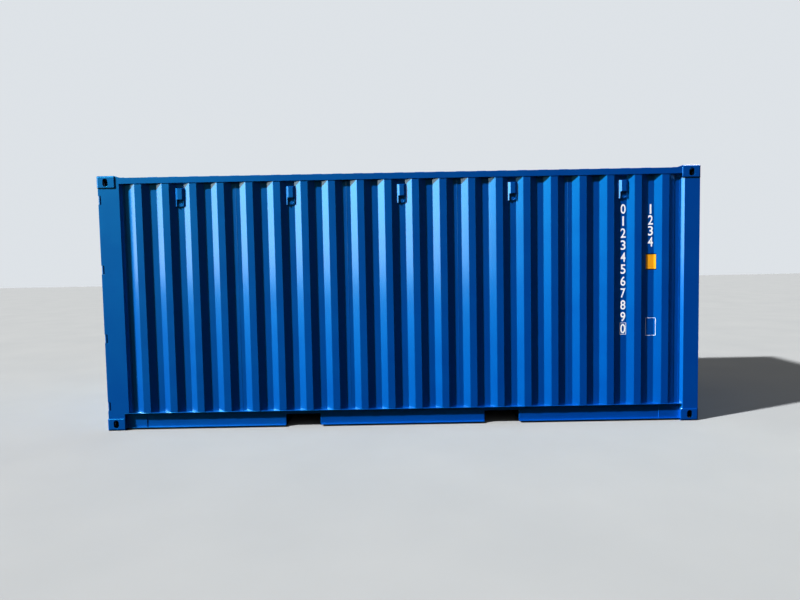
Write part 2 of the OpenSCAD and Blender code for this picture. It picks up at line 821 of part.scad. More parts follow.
// Door gear on the frame of the container
module door_hinge_pins() {
    x0 = -half_l;
    color(paint) both_sides() for (z = hinge_z) {
        for (s = [-1, 1])
            translate([0, 0, z + s * (cutout_h + lug_t) / 2 - lug_t / 2])
                block([x0 + rear_inset + post_t, -half_w + side_inset + post_t, 0],
                    [x0 + pin_inset + lug_reach, -half_w + leaf_edge - lug_gap, lug_t]);
        translate([x0 + pin_inset, -half_w + pin_inset, z - cutout_h / 2 - lug_t])
            cylinder(r = pin_r, h = cutout_h + 2 * lug_t);
    }
}
// Two ears beside a cam, with their outer corners cut back
module keeper(z) {
    deep = leaf_recess - ear_inset;
    ear = [[deep, -ear_h / 2], [deep, ear_h / 2], [deep / 2, ear_h / 2], [0, ear_h / 4],
        [0, -ear_h / 4], [deep / 2, -ear_h / 2]];
    for (a = bar_at, s = [-1, 1]) {
        y0 = s * (cam_r + cam_gap + ear_t / 2) - ear_t / 2;
        translate([-half_l + ear_inset, -half_w + a, z]) span_y(y0, y0 + ear_t) polygon(ear);
    }
}
cam_top = (header_low + rail_top) / 2;
cam_low = (base_gap + sill_back) / 2;
module header_keepers() color(paint) both_sides() keeper(cam_top);
module sill_keepers() color(paint) both_sides() keeper(cam_low);

// Near door leaf, which the far one mirrors
module leaf_frame() {
    x0 = -half_l + leaf_recess;
    x1 = x0 + leaf_t;
    y0 = -half_w + leaf_edge;
    y1 = -half_w + leaf_far;
    t = frame_t;
    difference() {
        block([x0, y0, leaf_low], [x1, y1, leaf_top]);
        block([x0 - past, y0 + frame_w, panel_low], [x1 + past, y1 - frame_w, panel_top]);
        for (y = [y0, y1 - frame_w])
            block([x0 + t, y + t, leaf_low - past], [x1 - t, y + frame_w - t, leaf_top + past]);
        for (z = [leaf_low, panel_top])
            block([x0 + t, y0 + frame_w - t - past, z + t],
                [x1 - t, y1 - frame_w + t + past, z + frame_w - t]);
    }
}
module leaf_panel() {
    x_out = -half_l + rib_r;
    x_in = x_out + door_depth - door_t;
    gap = rib_pitch - door_crest_w - 2 * door_slope_w;
    line = concat(
        [[panel_low, x_in]],
        crest_line(door_ribs, panel_low + gap / 2, rib_pitch, door_slope_w, door_crest_w, x_in, x_out),
        [[panel_top, x_in]]
    );
    turned = [for (q = line) [q[1], q[0]]];
    span_y(-half_w + leaf_edge + frame_w, -half_w + leaf_far - frame_w)
        polygon(plate_line(turned, -door_t));
}
// A barrel on the pin, and a blade with two round corners on the leaf's face
module leaf_hinges() {
    deep = leaf_recess - pin_inset;
    h = cutout_h - 2 * barrel_gap;
    for (z = hinge_z) translate([-half_l + pin_inset, -half_w + pin_inset, z]) difference() {
        union() {
            span_z(-h / 2, h / 2) circle(r = barrel_r);
            block([0, 0, -blade_h / 2], [deep, blade_web, blade_h / 2]);
            span_x(deep - blade_t, deep) {
                translate([0, -blade_h / 2]) square([blade_l - blade_r, blade_h]);
                translate([0, blade_r - blade_h / 2]) square([blade_l, blade_h - 2 * blade_r]);
                for (s = [-1, 1])
                    translate([blade_l - blade_r, s * (blade_h / 2 - blade_r)]) circle(r = blade_r);
            }
        }
        span_z(-h, h) circle(r = pin_r + pin_play);
    }
}
module leaf_seal() {
    x0 = -half_l + leaf_in;
    x1 = -half_l + seal_r - seal_clear;
    y0 = -half_w + leaf_edge;
    y1 = -half_w + leaf_far;
    difference() {
        block([x0, y0, leaf_low], [x1, y1, leaf_top]);
        block([x0 - past, y0 + seal_w, leaf_low + seal_w], [x1 + past, y1 - seal_w, leaf_top - seal_w]);
    }
}
// Each bar ends in two cams: a nose on the bar between two flanges
module leaf_bars() {
    for (a = bar_at) translate([-half_l + bar_c, -half_w + a, 0]) {
        span_z(cam_low - cam_h / 2, cam_top + cam_h / 2) circle(r = bar_r);
        for (z = [cam_low, cam_top]) translate([0, 0, z - cam_h / 2]) {
            for (z0 = [0, cam_h - cam_flange]) span_z(z0, z0 + cam_flange) circle(r = cam_r);
            block([-cam_r, -cam_nose_w / 2, cam_flange], [0, cam_nose_w / 2, cam_h - cam_flange]);
        }
    }
}
// A plate bent round a bar, whose flanges lie at distance r from the door end plane
module bar_bracket(r) {
    bore = bar_r + bar_play;
    deep = r - bar_c;
    span_z(-bracket_h / 2, bracket_h / 2) difference() {
        union() {
            circle(r = bore + bracket_t);
            translate([0, -bore - bracket_t]) square([deep, 2 * (bore + bracket_t)]);
            translate([deep - bracket_t, -bracket_w / 2]) square([bracket_t, bracket_w]);
        }
        circle(r = bore);
        translate([0, -bore]) square([deep + past, 2 * bore]);
    }
}
module leaf_brackets() {
    for (a = bar_at) {
        for (z = end_bracket_z) translate([-half_l + bar_c, -half_w + a, z]) bar_bracket(leaf_recess);
        for (z = rib_bracket_z) translate([-half_l + bar_c, -half_w + a, z]) bar_bracket(rib_r);
    }
}
// Places the children at each handle's hub, with +Y along the handle
module at_handles() {
    for (i = [0, 1])
        translate([-half_l + bar_c, -half_w + bar_at[i], handle_z[i]]) mirror([0, i, 0]) children();
}
module leaf_handles() {
    r = handle_h / 2;
    at_handles() {
        span_z(-hub_h / 2, hub_h / 2) difference() {
            circle(r = bar_r + hub_t);
            circle(r = bar_r);
        }
        span_x(-handle_t / 2, handle_t / 2) difference() {
            union() {
                translate([bar_r + hub_t / 2, -r]) square([handle_l - bar_r - hub_t / 2 - r, handle_h]);
                translate([handle_l - r, 0]) circle(r = r);
            }
            translate([handle_l - r, 0]) circle(r = lock_r);
        }
    }
}
// A block on the panel's rib behind the handle, with a jaw above and below the blade
module leaf_catches() {
    back = handle_t / 2 + catch_gap;
    jaw = handle_h / 2 + catch_gap;
    reach = rib_r - bar_c;
    y0 = handle_l - handle_h - catch_w;
    at_handles() {
        block([back, y0, -jaw - jaw_t], [reach, y0 + catch_w, jaw + jaw_t]);
        for (s = [-1, 1]) {
            z0 = s * (jaw + jaw_t / 2) - jaw_t / 2;
            block([-back, y0, z0], [back, y0 + catch_w, z0 + jaw_t]);
        }
    }
}
module far() mirror([0, 1, 0]) children();

module near_door_frame() color(paint) leaf_frame();
module near_door_panel() color(paint) leaf_panel();
module near_door_hinges() color(paint) leaf_hinges();
module near_door_seal() color(dark_rubber) leaf_seal();
module near_door_bars() color(zinc) leaf_bars();
module near_door_brackets() color(zinc) leaf_brackets();
module near_door_handles() color(zinc) leaf_handles();
module near_door_catches() color(zinc) leaf_catches();
module far_door_frame() color(paint) far() leaf_frame();
module far_door_panel() color(paint) far() leaf_panel();
module far_door_hinges() color(paint) far() leaf_hinges();
module far_door_seal() color(dark_rubber) far() leaf_seal();
module far_door_bars() color(zinc) far() leaf_bars();
module far_door_brackets() color(zinc) far() leaf_brackets();
module far_door_handles() color(zinc) far() leaf_handles();
module far_door_catches() color(zinc) far() leaf_catches();

rear_bottom_castings();
rear_top_castings();
front_bottom_castings();
front_top_castings();
rear_corner_posts();
rear_post_channels();
front_corner_posts();
top_side_rails();
bottom_side_rails();
rail_end_plates();
near_side_wall();
far_side_wall();
front_wall();
roof_sheet();
roof_corner_plates();
front_header();
front_sill();
door_header();
door_sill();
cross_members();
fork_pockets();
plywood_floor();
floor_side_angles();
side_vents();
door_hinge_pins();
header_keepers();
sill_keepers();
near_door_frame();
near_door_panel();
near_door_hinges();
near_door_seal();
near_door_bars();
near_door_brackets();
near_door_handles();
near_door_catches();
far_door_frame();
far_door_panel();
far_door_hinges();
far_door_seal();
far_door_bars();
far_door_brackets();
far_door_handles();
far_door_catches();
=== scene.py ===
"""Looks of a 20 foot dry freight container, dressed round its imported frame.

All lengths are in metres, unless a name or a comment says millimetres.
"""

import json
import math
import random

import bmesh
import bpy
from mathutils import Euler, Matrix, Vector


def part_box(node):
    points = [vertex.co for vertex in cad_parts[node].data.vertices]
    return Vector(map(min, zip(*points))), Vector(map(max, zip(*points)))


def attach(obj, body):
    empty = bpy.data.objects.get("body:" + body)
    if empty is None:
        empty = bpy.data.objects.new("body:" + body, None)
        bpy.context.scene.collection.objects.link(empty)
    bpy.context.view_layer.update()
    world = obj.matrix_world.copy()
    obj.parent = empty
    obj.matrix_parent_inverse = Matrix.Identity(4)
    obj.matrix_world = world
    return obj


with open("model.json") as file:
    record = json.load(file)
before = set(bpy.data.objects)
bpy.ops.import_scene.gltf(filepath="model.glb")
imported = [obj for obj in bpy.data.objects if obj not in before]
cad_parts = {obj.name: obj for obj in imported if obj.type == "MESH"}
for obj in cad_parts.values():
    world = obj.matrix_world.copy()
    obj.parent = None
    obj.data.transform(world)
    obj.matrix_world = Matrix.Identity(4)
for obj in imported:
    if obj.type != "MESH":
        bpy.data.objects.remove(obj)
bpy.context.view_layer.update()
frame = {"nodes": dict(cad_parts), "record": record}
nodes = frame["nodes"]
random.seed(20)

MM = 0.001


# Helpers for colours, nodes and pieces

# Sockets of a Mix node that mixes two colours: its share, its two colours and its result
SHARE, COLOUR_A, COLOUR_B, MIXED = 0, 6, 7, 2


def linear(hex_colour):
    """An sRGB hex colour as the linear RGBA that a shader takes."""
    channels = [int(hex_colour[i:i + 2], 16) / 255 for i in (0, 2, 4)]
    return [c / 12.92 if c <= 0.04045 else ((c + 0.055) / 1.055) ** 2.4 for c in channels] + [1.0]


def per_metre(size_mm):
    """How many times a pattern of that size in millimetres fits in a metre."""
    return 1 / (size_mm * MM)


def add(tree, kind, settings=None, links=None):
    """Adds a node, sets its values and properties, and links its inputs."""
    node = tree.nodes.new(kind)
    for name, value in (settings or {}).items():
        if isinstance(name, str) and name not in node.inputs:
            setattr(node, name, value)
        else:
            node.inputs[name].default_value = value
    for name, source in (links or {}).items():
        tree.links.new(source, node.inputs[name])
    return node


def new_material(name, **sockets):
    """A material with one Principled shader, whose sockets take the values given.

    Returns the material, its tree, the shader and the place in the piece.
    """
    material = bpy.data.materials.new(name)
    material.use_nodes = True
    tree = material.node_tree
    shader = tree.nodes["Principled BSDF"]
    for socket, value in sockets.items():
        shader.inputs[socket.replace("_", " ")].default_value = value
    place = add(tree, "ShaderNodeTexCoord").outputs["Object"]
    return material, tree, shader, place


def feed(tree, shader, **outputs):
    """Links outputs of nodes to the shader's sockets."""
    for socket, output in outputs.items():
        tree.links.new(output, shader.inputs[socket.replace("_", " ")])


def make_piece(name, bm, material, body, smooth=False):
    """Makes a piece of a bmesh, with its material and its body."""
    mesh = bpy.data.meshes.new(name)
    bmesh.ops.recalc_face_normals(bm, faces=bm.faces)
    bm.to_mesh(mesh)
    bm.free()
    mesh.materials.append(material)
    mesh.polygons.foreach_set("use_smooth", [smooth] * len(mesh.polygons))
    piece = bpy.data.objects.new(name, mesh)
    bpy.context.scene.collection.objects.link(piece)
    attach(piece, body)


# Finishes

ENAMEL_DARK = "0048A8"
ENAMEL_LIGHT = "004DB1"
# The highlight's tint, and the near-black colour of the painted shade in hollows and recesses
ENAMEL_SHEEN = "00E6FF"
PAINTED_SHADE_COLOUR = "05070B"
# How many rays round off an edge, and how many feel how open a place is for the painted shade
BEVEL_SAMPLES = 4
PAINTED_SHADE_SAMPLES = 8


def sprayed_enamel(name, edge_radius, skin_mm, skin_height, buckle_height=0.0, painted_shade=None):
    """Alkyd enamel sprayed over zinc primer on steel: deep, even blue, softly glossy.

    It has a faint orange peel, or takes the skin of the casting or weld below it. The blue pigment
    tints its broad highlight, and the thin film of binder on top adds a paler, tighter one.
    """
    material, tree, shader, place = new_material(
        name, IOR=1.9, Specular_IOR_Level=1.0, Specular_Tint=linear(ENAMEL_SHEEN),
        Coat_Weight=1.0, Coat_Roughness=0.17, Coat_IOR=2.0)
    # The film's thickness changes over about 700 mm, the width of one spray pass
    passes = add(tree, "ShaderNodeTexNoise", {"Scale": per_metre(700), "Detail": 3.0},
                 {"Vector": place})
    colour = add(tree, "ShaderNodeMix", {"data_type": "RGBA", COLOUR_A: linear(ENAMEL_DARK),
                                         COLOUR_B: linear(ENAMEL_LIGHT)},
                 {SHARE: passes.outputs["Fac"]}).outputs[MIXED]
    # The gloss wanders over about 250 mm
    haze = add(tree, "ShaderNodeTexNoise", {"Scale": per_metre(250), "Detail": 4.0},
               {"Vector": place})
    gloss = add(tree, "ShaderNodeMapRange", {"To Min": 0.44, "To Max": 0.58},
                {"Value": haze.outputs["Fac"]})
    skin = add(tree, "ShaderNodeTexNoise", {"Scale": per_metre(skin_mm), "Detail": 2.0},
               {"Vector": place})
    relief = add(tree, "ShaderNodeBump", {"Strength": 1.0, "Distance": skin_height},
                 {"Height": skin.outputs["Fac"]})
    if buckle_height:
        # Cold-rolled sheet buckles a little between its welds, over about 500 mm
        buckle = add(tree, "ShaderNodeTexNoise", {"Scale": per_metre(500), "Detail": 1.0},
                     {"Vector": place})
        relief = add(tree, "ShaderNodeBump", {"Strength": 1.0, "Distance": buckle_height},
                     {"Height": buckle.outputs["Fac"], "Normal": relief.outputs["Normal"]})
    if edge_radius:
        relief = add(tree, "ShaderNodeBevel", {"samples": BEVEL_SAMPLES, "Radius": edge_radius},
                     {"Normal": relief.outputs["Normal"]})
    # Painted shade: where the piece is closed in, its colour, its highlight's tint and its coat
    # fade to near black, standing in for the shade in hollows
    if painted_shade:
        depth_mm, shade_begins, shade_full, own_walls = painted_shade
        openness = add(tree, "ShaderNodeAmbientOcclusion",
                    {"samples": PAINTED_SHADE_SAMPLES, "Distance": depth_mm * MM, "only_local": own_walls})
        shade_share = add(tree, "ShaderNodeMapRange", {"From Min": shade_begins, "From Max": shade_full},
                   {"Value": openness.outputs["AO"]}).outputs["Result"]
        colour = add(tree, "ShaderNodeMix", {"data_type": "RGBA", COLOUR_B: linear(PAINTED_SHADE_COLOUR)},
                     {SHARE: shade_share, COLOUR_A: colour}).outputs[MIXED]
        shaded_tint = add(tree, "ShaderNodeMix", {"data_type": "RGBA", COLOUR_A: linear(ENAMEL_SHEEN),
                                           COLOUR_B: linear(PAINTED_SHADE_COLOUR)}, {SHARE: shade_share})
        film = add(tree, "ShaderNodeMapRange", {"To Min": 1.0, "To Max": 0.1}, {"Value": shade_share})
        feed(tree, shader, Specular_Tint=shaded_tint.outputs[MIXED], Coat_Weight=film.outputs["Result"])
    feed(tree, shader, Base_Color=colour, Roughness=gloss.outputs["Result"],
         Normal=relief.outputs["Normal"])
    return material


def galvanised_steel():
    """Hot-dip galvanised steel: grey zinc crystals of about 12 mm, each with its own dull shine.

    A thin patina of zinc carbonate covers most of the metal, so its grey shows from every side.
    """
    material, tree, shader, place = new_material("hot_dip_galvanised_steel", Metallic=0.35)
    crystals = add(tree, "ShaderNodeTexVoronoi", {"Scale": per_metre(12)}, {"Vector": place})
    tone = add(tree, "ShaderNodeSeparateColor", {}, {"Color": crystals.outputs["Color"]})
    colour = add(tree, "ShaderNodeMix", {"data_type": "RGBA", COLOUR_A: linear("8C9094"),
                                         COLOUR_B: linear("B9BDC0")},
                 {SHARE: tone.outputs["Red"]})
    dull = add(tree, "ShaderNodeMapRange", {"To Min": 0.34, "To Max": 0.52},
               {"Value": tone.outputs["Green"]})
    edge = add(tree, "ShaderNodeBevel", {"samples": BEVEL_SAMPLES, "Radius": 1.5 * MM})
    feed(tree, shader, Base_Color=colour.outputs[MIXED], Roughness=dull.outputs["Result"],
         Normal=edge.outputs["Normal"])
    return material


def extruded_rubber():
    """Extruded EPDM rubber: near black and matt, with a faint pale bloom in spots of 35 mm."""
    material, tree, shader, place = new_material("extruded_epdm_rubber", Roughness=0.62)
    bloom = add(tree, "ShaderNodeTexNoise", {"Scale": per_metre(35), "Detail": 5.0},
                {"Vector": place})
    colour = add(tree, "ShaderNodeMix", {"data_type": "RGBA", COLOUR_A: linear("17181A"),
                                         COLOUR_B: linear("26272A")},
                 {SHARE: bloom.outputs["Fac"]})
    grain = add(tree, "ShaderNodeBump", {"Strength": 1.0, "Distance": 0.3 * MM},
                {"Height": bloom.outputs["Fac"]})
    feed(tree, shader, Base_Color=colour.outputs[MIXED], Normal=grain.outputs["Normal"])
    return material


def sprayed_bitumen():
    """Bitumen undercoat sprayed on the base: black, in pebbles of 11 mm, with a dull sheen."""
    material, tree, shader, place = new_material("sprayed_bitumen_undercoat", Roughness=0.6)
    pebble = add(tree, "ShaderNodeTexNoise", {"Scale": per_metre(11), "Detail": 3.0},
                 {"Vector": place})
    colour = add(tree, "ShaderNodeMix", {"data_type": "RGBA", COLOUR_A: linear("060709"),
                                         COLOUR_B: linear("111215")},
                 {SHARE: pebble.outputs["Fac"]})
    lumps = add(tree, "ShaderNodeBump", {"Strength": 1.0, "Distance": 1.2 * MM},
                {"Height": pebble.outputs["Fac"]})
    feed(tree, shader, Base_Color=colour.outputs[MIXED], Normal=lumps.outputs["Normal"])
    return material


def varnished_plywood():
    """Rotary-cut hardwood plywood, varnished: red-brown flame figure with dark pores."""
    material, tree, shader, place = new_material("varnished_hardwood_plywood", Roughness=0.45)
    # The figure is about 110 mm wide and eight times as long
    along = add(tree, "ShaderNodeMapping", {"Scale": (1 / 8, 1.0, 1.0)},
                {"Vector": place}).outputs["Vector"]
    figure = add(tree, "ShaderNodeTexNoise",
                 {"Scale": per_metre(110), "Detail": 8.0, "Distortion": 1.2}, {"Vector": along})
    # Pores are 1 mm wide, drawn at 4 mm so that they show
    pores = add(tree, "ShaderNodeTexNoise", {"Scale": per_metre(4), "Detail": 2.0},
                {"Vector": along})
    wood = add(tree, "ShaderNodeMix", {"data_type": "RGBA", COLOUR_A: linear("6E4426"),
                                       COLOUR_B: linear("A87446")},
               {SHARE: figure.outputs["Fac"]})
    colour = add(tree, "ShaderNodeMix", {"data_type": "RGBA", "blend_type": "MULTIPLY",
                                         COLOUR_B: linear("C9B49A")},
                 {SHARE: pores.outputs["Fac"], COLOUR_A: wood.outputs[MIXED]})
    grain = add(tree, "ShaderNodeBump", {"Strength": 1.0, "Distance": 0.3 * MM},
                {"Height": pores.outputs["Fac"]})
    feed(tree, shader, Base_Color=colour.outputs[MIXED], Normal=grain.outputs["Normal"])
    return material


def cut_vinyl(name, dark, light):
    """Cast vinyl film cut to shape: even colour, a low gloss, and a slight ripple over 80 mm."""
    material, tree, shader, place = new_material(name, Roughness=0.4)
    fade = add(tree, "ShaderNodeTexNoise", {"Scale": per_metre(80), "Detail": 2.0},
               {"Vector": place})
    colour = add(tree, "ShaderNodeMix", {"data_type": "RGBA", COLOUR_A: linear(dark),
                                         COLOUR_B: linear(light)},
                 {SHARE: fade.outputs["Fac"]})
    ripple = add(tree, "ShaderNodeBump", {"Strength": 1.0, "Distance": 0.2 * MM},
                 {"Height": fade.outputs["Fac"]})
    feed(tree, shader, Base_Color=colour.outputs[MIXED], Normal=ripple.outputs["Normal"])
    return material


def trowelled_floor():
    """A pale matt studio floor, trowelled smooth, with soft clouds about 1.2 m across."""
    material, tree, shader, place = new_material(
        "pale_studio_floor", Roughness=0.85, Specular_IOR_Level=0.0)
    cloud = add(tree, "ShaderNodeTexNoise", {"Scale": per_metre(1200), "Detail": 6.0},
                {"Vector": place})
    colour = add(tree, "ShaderNodeMix", {"data_type": "RGBA", COLOUR_A: linear("9FA1A2"),
                                         COLOUR_B: linear("A8A9A9")},
                 {SHARE: cloud.outputs["Fac"]})
    feed(tree, shader, Base_Color=colour.outputs[MIXED])
    return material


# Orange peel is about 2 mm across, drawn at 8 mm so that it shows
ORANGE_PEEL_MM = 8
ORANGE_PEEL_HEIGHT = 0.05 * MM
CAST_SKIN_MM = 6
# Painted shade in hollows: how deep a hollow it feels for in millimetres, how open a place is where
# the painted shade begins and where it is full, and whether only the piece's own walls close it in
CASTING_PAINTED_SHADE = (120, 0.8, 0.5, True)
HINGE_PAINTED_SHADE = (60, 0.85, 0.6, False)

sheet_blue = sprayed_enamel(
    "blue_enamel_on_pressed_sheet", edge_radius=9 * MM, skin_mm=ORANGE_PEEL_MM,
    skin_height=ORANGE_PEEL_HEIGHT, buckle_height=4 * MM)
plate_blue = sprayed_enamel(
    "blue_enamel_on_steel_plate", edge_radius=3 * MM, skin_mm=ORANGE_PEEL_MM,
    skin_height=ORANGE_PEEL_HEIGHT, buckle_height=1 * MM)
# The castings and the hinges get painted shade in their hollows
cast_blue = sprayed_enamel(
    "blue_enamel_on_cast_steel", edge_radius=4 * MM, skin_mm=CAST_SKIN_MM,
    skin_height=0.25 * MM, painted_shade=CASTING_PAINTED_SHADE)
hinge_blue = sprayed_enamel(
    "blue_enamel_on_hinges_with_painted_shade", edge_radius=2 * MM, skin_mm=ORANGE_PEEL_MM,
    skin_height=ORANGE_PEEL_HEIGHT, painted_shade=HINGE_PAINTED_SHADE)
weld_blue = sprayed_enamel(
    "blue_enamel_on_weld", edge_radius=0.0, skin_mm=CAST_SKIN_MM, skin_height=1.0 * MM)
zinc = galvanised_steel()
rubber = extruded_rubber()
bitumen = sprayed_bitumen()
plywood = varnished_plywood()
white_vinyl = cut_vinyl("white_cut_vinyl", "F0F4F6", "FAFCFC")
yellow_vinyl = cut_vinyl("yellow_cut_vinyl", "E8A417", "F2B52B")
black_vinyl = cut_vinyl("black_cut_vinyl", "1B1C1E", "26282A")

# The finish of the nodes whose names end with these words
FINISHES = {
    "_castings": cast_blue, "_hinges": hinge_blue, "hinge_pins": hinge_blue,
    "_wall": sheet_blue, "roof_sheet": sheet_blue, "_panel": sheet_blue,
    "_seal": rubber, "plywood_floor": plywood,
    "cross_members": bitumen, "fork_pockets": bitumen,
    "_bars": zinc, "_brackets": zinc, "_handles": zinc, "_catches": zinc,
}


def dress_nodes():
    """Gives every CAD node the finish that its name asks for, and plate enamel otherwise."""
    for name, node in nodes.items():
        chosen = next((finish for key, finish in FINISHES.items() if name.endswith(key)),
                      plate_blue)
        node.data.materials.clear()
        node.data.materials.append(chosen)


# Shapes read from the frame

# Points of a solid closer than this are one point
SAME_POINT = 0.01 * MM
# Decimals of a metre to which boxes are sorted, and points of the wall are read
SORT_DECIMALS = 4
POINT_DECIMALS = 5


def solids_of(node):
    """The lowest and the highest corner of each solid of a node."""
    bm = bmesh.new()
    bm.from_mesh(nodes[node].data)
    bmesh.ops.remove_doubles(bm, verts=bm.verts, dist=SAME_POINT)
    seen, boxes = set(), []
    for first in bm.verts:
        if first in seen:
            continue
        seen.add(first)
        group, waiting = [], [first]
        while waiting:
            vert = waiting.pop()
            group.append(vert.co.copy())
            for edge in vert.link_edges:
                other = edge.other_vert(vert)
                if other not in seen:
                    seen.add(other)
                    waiting.append(other)
        boxes.append((Vector([min(p[k] for p in group) for k in range(3)]),
                      Vector([max(p[k] for p in group) for k in range(3)])))
    bm.free()
    return sorted(boxes, key=lambda box: tuple(round(c, SORT_DECIMALS) for c in box[0]))


def near_profile():
    """The near wall's outer line, seen from above, as points from the door end to the front."""
    points = [v.co for v in nodes["near_side_wall"].data.vertices]
    base = min(p.z for p in points)
    foot = {(round(p.x, POINT_DECIMALS), round(p.y, POINT_DECIMALS)) for p in points
            if p.z < base + MM}
    # The foot's points lie on four levels: outer and inner face of the crests, then of the troughs
    levels = sorted({y for _, y in foot})
    return [Vector(p) for p in sorted(foot) if p[1] in (levels[0], levels[2])]


profile = near_profile()
wall_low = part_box("near_side_wall")[0].z
wall_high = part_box("near_side_wall")[1].z
trough_y = max(p.y for p in profile)
troughs = [(a.x, b.x) for a, b in zip(profile, profile[1:]) if a.y == b.y == trough_y]
side_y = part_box("top_side_rails")[0].y


def outward_at(line, i):
    """The mitred outward direction at one point of a line on the near wall."""
    before = line[i] - line[i - 1] if i else line[1] - line[0]
    after = line[i + 1] - line[i] if i < len(line) - 1 else before
    n1 = Vector((before.y, -before.x)).normalized()
    n2 = Vector((after.y, -after.x)).normalized()
    return (n1 + n2) / (1 + n1.dot(n2))


def wall_line(x0, x1):
    """The near wall's outer line between two places along the container."""
    def on_wall(x):
        a, b = next((a, b) for a, b in zip(profile, profile[1:]) if a.x <= x <= b.x)
        return a.lerp(b, (x - a.x) / (b.x - a.x))
    return [on_wall(x0)] + [p for p in profile if x0 < p.x < x1] + [on_wall(x1)]


# Forms that several pieces share

def ring_angles(sides):
    """The angles of the corners of a ring."""
    return [2 * math.pi * k / sides for k in range(sides)]


def close_rings(bm, rings):
    """Faces between rings of points, and over the first and the last ring."""
    sides = len(rings[0])
    for a, b in zip(rings, rings[1:]):
        for k in range(sides):
            bm.faces.new((a[k], a[(k + 1) % sides], b[(k + 1) % sides], b[k]))
    bm.faces.new(rings[0])
    bm.faces.new(rings[-1])


def add_bar(bm, middle, size):
    """A flat bar of a given size round its middle."""
    made = bmesh.ops.create_cube(bm, size=1.0)
    bmesh.ops.scale(bm, vec=size, verts=made["verts"])
    bmesh.ops.translate(bm, vec=middle, verts=made["verts"])


# Welds

WELD_SIZE = 4 * MM
# Length of one ripple in a weld, drawn longer than the real 4 mm so that it shows
RIPPLE_LENGTH = 14 * MM
# The thinnest and the thickest ripple, as shares of the bead's radius
RIPPLE_SHARES = (0.85, 1.15)
BEAD_SIDES = 6
# A fillet's back is sunk in the wall by the first share of its size, and its middle is rounded out
# to the second. Its lower edge feathers out at this height above the rail
FILLET_SUNK = 0.3
FILLET_MIDDLE = 0.62
FILLET_EDGE = 0.2 * MM
# Two thirds of a butt weld's bead is sunk in the sheet
BUTT_RADIUS = 2.6 * MM
BUTT_SUNK = 1.0 * MM
# A trough with a joint between two sheets is wider than the others by more than this
JOINT_EXTRA = 5 * MM
# Height of the bottom rails and sills above the feet of the bottom castings
BASE_GAP = 17 * MM
# At the front the beads are sunk by this much more, so that they stay behind the castings' faces
FRONT_SUNK = 1 * MM
# The stated opening of a fork pocket lies this far inside its walls
POCKET_WALL = 5 * MM


def add_bead(bm, start, end, radius):
    """A run of weld between two points, whose radius varies a little from ripple to ripple."""
    start, end = Vector(start), Vector(end)
    run = end - start
    steps = max(2, round(run.length / RIPPLE_LENGTH))
    turn = run.to_track_quat("Z", "Y").to_matrix()
    rings = []
    for i in range(steps + 1):
        size = radius * random.uniform(*RIPPLE_SHARES)
        middle = start + run * i / steps
        ring = [turn @ Vector((math.cos(a) * size, math.sin(a) * size, 0))
                for a in ring_angles(BEAD_SIDES)]
        rings.append([bm.verts.new(middle + p) for p in ring])
    close_rings(bm, rings)


def bead_along_wall(name, z, side, size):
    """A fillet weld where the walls meet a rail: side is +1 above the rail and -1 below it."""
    bm = bmesh.new()
    for mirror in (1, -1):
        rows = []
        for i, p in enumerate(profile):
            out = outward_at(profile, i)
            points = [p - out * size * FILLET_SUNK, p + out * size * FILLET_MIDDLE, p + out * size]
            heights = [size, size * FILLET_MIDDLE, FILLET_EDGE]
            rows.append([bm.verts.new((q.x, q.y * mirror, z + side * h))
                         for q, h in zip(points, heights)])
        for a, b in zip(rows, rows[1:]):
            for k in range(2):
                bm.faces.new((a[k], b[k], b[k + 1], a[k + 1]))
    make_piece(name, bm, weld_blue, "container", smooth=True)


def sheet_joint_welds():
    """The upright butt welds between the wall sheets, in the troughs wider than the others."""
    widths = sorted(b - a for a, b in troughs)
    usual = widths[len(widths) // 2]
    bm = bmesh.new()
    for a, b in troughs:
        if b - a > usual + JOINT_EXTRA:
            for mirror in (1, -1):
                x, y = (a + b) / 2, (trough_y + BUTT_SUNK) * mirror
                add_bead(bm, (x, y, wall_low), (x, y, wall_high), BUTT_RADIUS)
    make_piece("sheet_joint_welds", bm, weld_blue, "container", smooth=True)


def casting_welds():
    """Fillet welds where the corner castings meet the posts, rails, headers and sills."""
    bm = bmesh.new()
    post_end = {"rear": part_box("rear_corner_posts")[0].x,
                "front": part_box("front_corner_posts")[1].x - FRONT_SUNK}
    rail_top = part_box("top_side_rails")[1].z
    for end in ("rear", "front"):
        outer_x = post_end[end]
        for level in ("bottom", "top"):
            for low, high in solids_of(f"{end}_{level}_castings"):
                side = 1 if low.y > 0 else -1
                inner_x = high.x if end == "rear" else low.x
                outer_y = side * -side_y
                inner_y = low.y if side > 0 else high.y
                z = high.z if level == "bottom" else low.z
                foot = low.z + BASE_GAP if level == "bottom" else low.z
                head = high.z if level == "bottom" else rail_top
                # Round the post, then up the castings' two inner sides
                runs = [((outer_x, outer_y, z), (inner_x, outer_y, z)),
                        ((outer_x, outer_y, z), (outer_x, inner_y, z)),
                        ((inner_x, outer_y, foot), (inner_x, outer_y, head)),
                        ((outer_x, inner_y, foot), (outer_x, inner_y, head))]
                if level == "top":
                    runs += [((inner_x, outer_y, rail_top), (inner_x, inner_y, rail_top)),
                             ((inner_x, inner_y, rail_top), (outer_x, inner_y, rail_top))]
                for start, stop in runs:
                    add_bead(bm, start, stop, WELD_SIZE)
    make_piece("casting_welds", bm, weld_blue, "container", smooth=True)


